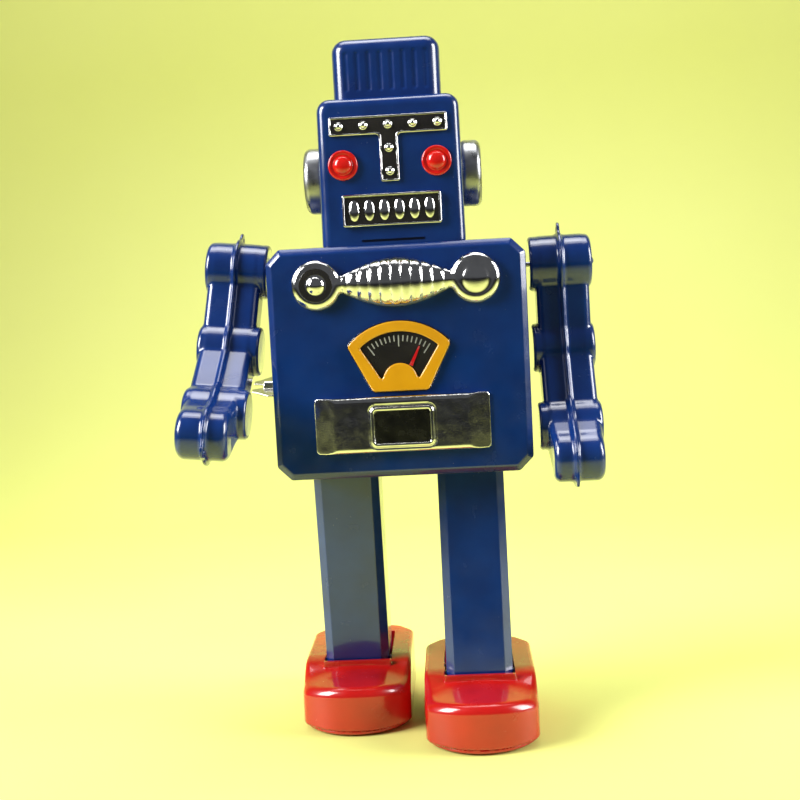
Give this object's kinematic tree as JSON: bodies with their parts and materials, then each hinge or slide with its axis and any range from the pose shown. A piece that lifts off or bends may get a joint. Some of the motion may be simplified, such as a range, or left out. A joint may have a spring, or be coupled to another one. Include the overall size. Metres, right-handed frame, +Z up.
{
  "type": "toy robot",
  "caption": "Wind-up tin walking robot with a square head, box body, swinging arms and legs, and wide red feet on rollers.",
  "frame": {"origin": "on the floor, under the middle of the whole robot's box", "axes": "+Z up, -Y the way the face and chest look, +X the robot's own left"},
  "size_m": [0.136, 0.0906, 0.23],
  "materials": {
    "blue_tin": "gloss enamel on tin",
    "red_tin": "gloss enamel on tin",
    "black_paint": "gloss black enamel",
    "bright_tin": "bright plated tin",
    "red_lens": "moulded red plastic",
    "red_paint": "gloss red",
    "yellow_paint": "gloss yellow enamel",
    "brass": "stamped brass",
    "roller_rubber": "black rubber",
    "black_tin": "blackened tin",
    "key_steel": "nickel-plated sheet",
    "motor_steel": "oiled steel"
  },
  "bodies": {
    "torso": {"body_front": "blue_tin", "body_back": "blue_tin", "bottom_plate": "motor_steel", "head_shell": "blue_tin", "head_back": "blue_tin", "head_cap": "blue_tin", "brow_plate": "black_paint", "brow_rivets": "bright_tin", "right_eye": "red_lens", "left_eye": "red_lens", "mouth_plate": "bright_tin", "right_ear": "bright_tin", "left_ear": "bright_tin", "chest_ornament": "bright_tin", "ornament_ring": "black_paint", "gauge_bezel": "yellow_paint", "gauge_dial": "black_paint", "gauge_needle": "red_paint", "belly_plate": "bright_tin", "motor_plate_right": "motor_steel", "motor_plate_left": "motor_steel", "motor_pillars": "motor_steel", "hip_shaft": "motor_steel", "right_axle_bearing": "motor_steel", "left_axle_bearing": "motor_steel", "mainspring": "motor_steel"},
    "key": {"winding_key": "key_steel", "key_arbor": "motor_steel"},
    "great_wheel": {"great_wheel": "brass", "click": "motor_steel"},
    "second_wheel": {"second_wheel": "brass"},
    "crank_shaft": {"crank_shaft": "brass"},
    "governor": {"governor": "brass"},
    "right_arm": {"right_arm_outer": "blue_tin", "right_arm_inner": "blue_tin", "right_arm_axle": "motor_steel"},
    "right_leg": {"right_leg_tube": "blue_tin", "right_leg_bracket": "motor_steel"},
    "right_foot": {"right_foot_shell": "red_tin", "right_sole_plate": "black_tin", "right_ankle_pin": "motor_steel", "right_roller_pins": "motor_steel"},
    "right_front_roller": {"right_front_roller": "roller_rubber"},
    "right_rear_roller": {"right_rear_roller": "roller_rubber"},
    "left_arm": {"left_arm_outer": "blue_tin", "left_arm_inner": "blue_tin", "left_arm_axle": "motor_steel"},
    "left_leg": {"left_leg_tube": "blue_tin", "left_leg_bracket": "motor_steel"},
    "left_foot": {"left_foot_shell": "red_tin", "left_sole_plate": "black_tin", "left_ankle_pin": "motor_steel", "left_roller_pins": "motor_steel"},
    "left_front_roller": {"left_front_roller": "roller_rubber"},
    "left_rear_roller": {"left_rear_roller": "roller_rubber"}
  },
  "joints": [
    {"name": "key_turn", "type": "hinge", "parent": "torso", "child": "key", "pos_m": [0.0025, 0.0212, 0.1165], "axis": [1, 0, 0], "continuous": true},
    {"name": "great_wheel_turn", "type": "hinge", "parent": "torso", "child": "great_wheel", "pos_m": [0.0025, 0.0212, 0.1165], "axis": [1, 0, 0], "continuous": true},
    {"name": "second_wheel_turn", "type": "hinge", "parent": "torso", "child": "second_wheel", "pos_m": [0.0025, 0.0202, 0.12911], "axis": [1, 0, 0], "continuous": true},
    {"name": "crank_shaft_turn", "type": "hinge", "parent": "torso", "child": "crank_shaft", "pos_m": [0.0025, 0.0082, 0.12561], "axis": [1, 0, 0], "continuous": true},
    {"name": "governor_turn", "type": "hinge", "parent": "torso", "child": "governor", "pos_m": [0.0025, 0.00113, 0.13268], "axis": [1, 0, 0], "continuous": true},
    {"name": "left_hip", "type": "hinge", "parent": "torso", "child": "left_leg", "pos_m": [0.0237, 0.0082, 0.09938], "axis": [-1, 0, 0], "range_deg": [-16, 2]},
    {"name": "right_hip", "type": "hinge", "parent": "torso", "child": "right_leg", "pos_m": [-0.0187, 0.0082, 0.09938], "axis": [-1, 0, 0], "range_deg": [-2, 16]},
    {"name": "left_shoulder", "type": "hinge", "parent": "torso", "child": "left_arm", "pos_m": [0.0445, 0.0082, 0.1549], "axis": [-1, 0, -0.0087], "range_deg": [-3.4, 23.68]},
    {"name": "right_shoulder", "type": "hinge", "parent": "torso", "child": "right_arm", "pos_m": [-0.0395, 0.0082, 0.1565], "axis": [-0.9945, 0, 0.1045], "range_deg": [-23.68, 3.4]},
    {"name": "left_ankle", "type": "hinge", "parent": "left_leg", "child": "left_foot", "pos_m": [0.0237, -0.00192, 0.017], "axis": [-1, 0, 0], "range_deg": [-5, 19]},
    {"name": "left_front_roller_turn", "type": "hinge", "parent": "left_foot", "child": "left_front_roller", "pos_m": [0.0237, -0.02192, 0.0035], "axis": [1, 0, 0], "continuous": true},
    {"name": "left_rear_roller_turn", "type": "hinge", "parent": "left_foot", "child": "left_rear_roller", "pos_m": [0.0237, 0.01909, 0.0035], "axis": [1, 0, 0], "continuous": true},
    {"name": "right_ankle", "type": "hinge", "parent": "right_leg", "child": "right_foot", "pos_m": [-0.0187, 0.01832, 0.017], "axis": [-1, 0, 0], "range_deg": [-19, 5]},
    {"name": "right_front_roller_turn", "type": "hinge", "parent": "right_foot", "child": "right_front_roller", "pos_m": [-0.0187, -0.00169, 0.0035], "axis": [1, 0, 0], "continuous": true},
    {"name": "right_rear_roller_turn", "type": "hinge", "parent": "right_foot", "child": "right_rear_roller", "pos_m": [-0.0187, 0.03932, 0.0035], "axis": [1, 0, 0], "continuous": true}
  ],
  "couplings": [
    {"joint": "second_wheel_turn", "follows": "crank_shaft_turn", "ratio": -0.25},
    {"joint": "great_wheel_turn", "follows": "crank_shaft_turn", "ratio": 0.069444},
    {"joint": "governor_turn", "follows": "crank_shaft_turn", "ratio": -4},
    {"joint": "right_hip", "follows": "left_hip", "ratio": -1},
    {"joint": "left_shoulder", "follows": "left_hip", "ratio": -1.4486},
    {"joint": "right_shoulder", "follows": "left_hip", "ratio": 1.4486}
  ]
}
